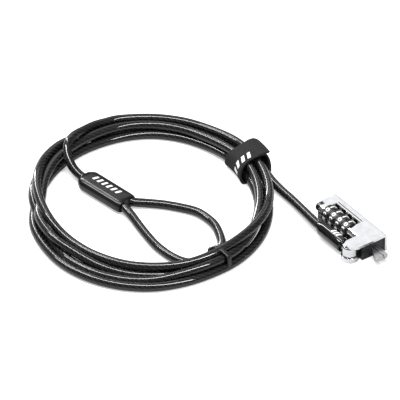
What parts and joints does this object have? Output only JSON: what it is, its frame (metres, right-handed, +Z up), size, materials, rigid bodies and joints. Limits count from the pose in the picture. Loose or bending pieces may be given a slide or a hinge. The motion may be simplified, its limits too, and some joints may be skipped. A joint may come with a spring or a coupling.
{
  "type": "laptop cable lock",
  "caption": "Coiled coated steel cable with an anchor loop at one end and, at the other, a hinged and swivelling lock head with number wheels, a push button and a split locking tip.",
  "frame": {"origin": "on the surface the lock lies on, under the middle of the lock head", "axes": "+X the way the locking tip points, +Y from the dials towards the long rail, +Z up"},
  "size_m": [0.1647, 0.1328, 0.0131],
  "materials": {
    "chrome": "bright chrome plate on a zinc casting",
    "black_body": "satin black",
    "black_steel": "blackened steel",
    "dial": "semi-gloss black with white digits",
    "hub": "plain turned brass",
    "steel": "satin steel",
    "button": "dark gunmetal plate",
    "black_gloss": "gloss black",
    "cable_coat": "clear smoke-black coat over twisted steel rope",
    "sleeve": "satin moulded black",
    "ferrule": "pressed aluminium",
    "strap": "black woven hook-and-loop tape",
    "tie": "black plastic-coated wire"
  },
  "bodies": {
    "cable": {"cable_tail": "cable_coat", "cable_coil": "cable_coat", "cable_lead": "cable_coat", "cable_eye": "cable_coat", "eye_sleeve": "sleeve", "eye_ferrule": "ferrule", "strap": "strap", "wire_tie": "tie", "barrel": "black_gloss", "cable_crimp": "steel"},
    "swivel": {"knuckle": "chrome", "swivel_clip": "steel"},
    "lock_body": {"housing": "chrome", "carrier": "black_body", "lower_lug": "chrome", "pivot_pin": "steel", "fixed_jaw": "steel", "index_strip": "black_body", "detent_spring": "steel", "return_spring": "steel", "base_screws": "black_steel"},
    "wheel_1": {"dial_1": "dial", "hub_1": "hub"},
    "wheel_2": {"dial_2": "dial", "hub_2": "hub"},
    "wheel_3": {"dial_3": "dial", "hub_3": "hub"},
    "wheel_4": {"dial_4": "dial", "hub_4": "hub"},
    "slider": {"button": "button", "spindle": "steel", "cam": "steel"},
    "jaw": {"moving_jaw": "steel"},
    "reset": {"reset_screw": "black_steel"}
  },
  "joints": [
    {"name": "cable_swivel", "type": "hinge", "parent": "cable", "child": "swivel", "pos_m": [0, -0.0069, 0.0047], "axis": [1, 0, 0], "continuous": true},
    {"name": "cable_pivot", "type": "hinge", "parent": "swivel", "child": "lock_body", "pos_m": [0.0112, -0.0069, 0.0047], "axis": [0, 0, -1], "range_deg": [0, 90]},
    {"name": "dial_turn_1", "type": "hinge", "parent": "lock_body", "child": "wheel_1", "pos_m": [-0.0149, 0.0015, 0.0061], "axis": [1, 0, 0], "continuous": true},
    {"name": "dial_turn_2", "type": "hinge", "parent": "lock_body", "child": "wheel_2", "pos_m": [-0.0102, 0.0015, 0.0061], "axis": [1, 0, 0], "continuous": true},
    {"name": "dial_turn_3", "type": "hinge", "parent": "lock_body", "child": "wheel_3", "pos_m": [-0.0054, 0.0015, 0.0061], "axis": [1, 0, 0], "continuous": true},
    {"name": "dial_turn_4", "type": "hinge", "parent": "lock_body", "child": "wheel_4", "pos_m": [-0.0007, 0.0015, 0.0061], "axis": [1, 0, 0], "continuous": true},
    {"name": "button_push", "type": "slide", "parent": "lock_body", "child": "slider", "axis": [1, 0, 0], "range_m": [0, 0.0018], "stiffness_N_per_m": 1200, "springref_m": -0.0005, "deforming": ["return_spring"]},
    {"name": "jaw_close", "type": "slide", "parent": "lock_body", "child": "jaw", "axis": [0, 1, 0], "range_m": [0, 0.00035]},
    {"name": "reset_turn", "type": "hinge", "parent": "lock_body", "child": "reset", "pos_m": [-0.0234, 0.0076, 0.0042], "axis": [-1, 0, 0], "range_deg": [0, 90]}
  ],
  "couplings": [
    {"joint": "jaw_close", "follows": "button_push", "ratio": 0.19444}
  ]
}
